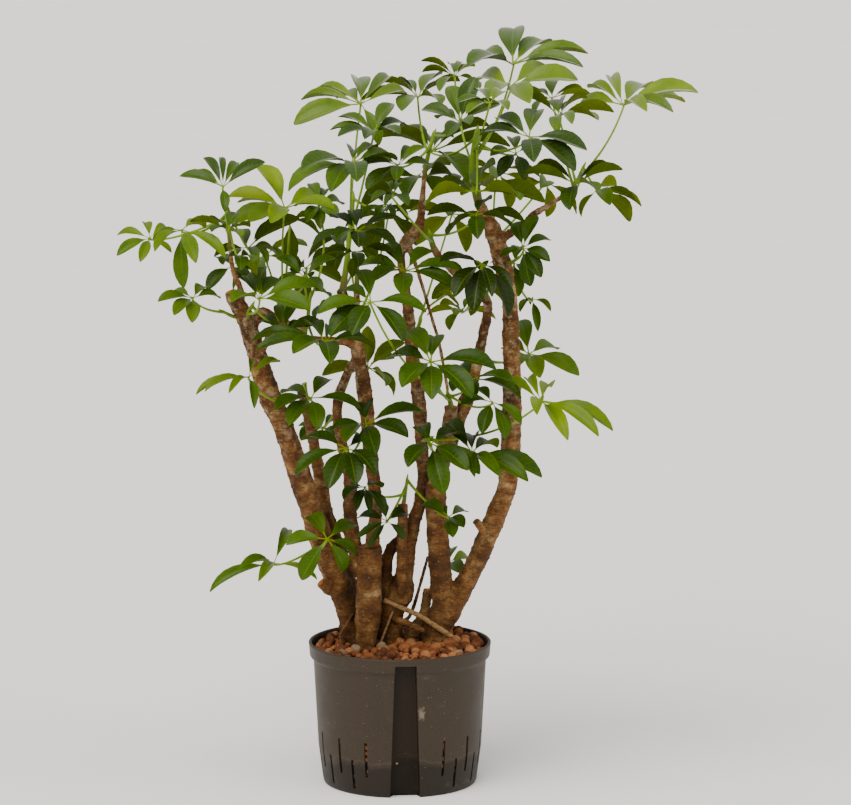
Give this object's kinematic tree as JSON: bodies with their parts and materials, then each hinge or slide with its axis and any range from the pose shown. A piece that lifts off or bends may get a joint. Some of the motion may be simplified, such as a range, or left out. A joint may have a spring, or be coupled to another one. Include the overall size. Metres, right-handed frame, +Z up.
{
  "type": "potted umbrella plant",
  "caption": "Multi-stemmed umbrella plant with whorled leaves on long stalks, growing in a slotted plastic hydroculture pot of clay granules.",
  "frame": {"origin": "middle of the pot's flat foot", "axes": "+Z up along the pot's axis, -Y towards the pot's water-gauge groove and the viewer, +X to the viewer's right"},
  "size_m": [0.687, 0.4203, 0.9005],
  "materials": {
    "pot_plastic": "matt dark grey-brown moulded plastic, dusty, slightly glossy at the rim",
    "clay_granules": "rough fired clay, unglazed",
    "bark": "rough brown bark with paler patches",
    "foliage": "smooth leathery green leaf with a slight gloss"
  },
  "bodies": {
    "root": {"pot": "pot_plastic", "clay": "clay_granules", "trunk_left": "bark", "trunk_centre": "bark", "trunk_middle": "bark", "trunk_right": "bark", "stub_cut": "bark", "stick_fallen": "bark", "shoot_back_centre": "foliage", "shoot_back_left": "foliage", "shoot_back_middle": "foliage", "shoot_back_right": "foliage", "shoot_centre_back": "foliage", "shoot_centre_front": "foliage", "shoot_centre_knob": "foliage", "shoot_centre_left": "foliage", "shoot_centre_top": "foliage", "shoot_far_left": "foliage", "shoot_front_right": "foliage", "shoot_inner_right": "foliage", "shoot_left_fork": "foliage", "shoot_left_front": "foliage", "shoot_left_inner": "foliage", "shoot_left_mid": "foliage", "shoot_left_top": "foliage", "shoot_low_left": "foliage", "shoot_low_right": "foliage", "shoot_middle_front": "foliage", "shoot_middle_knob": "foliage", "shoot_middle_low": "foliage", "shoot_middle_top": "foliage", "shoot_right_back": "foliage", "shoot_right_branch": "foliage", "shoot_right_low": "foliage", "shoot_right_mid": "foliage", "shoot_right_top": "foliage", "shoot_stem_cut": "foliage"}
  },
  "joints": []
}
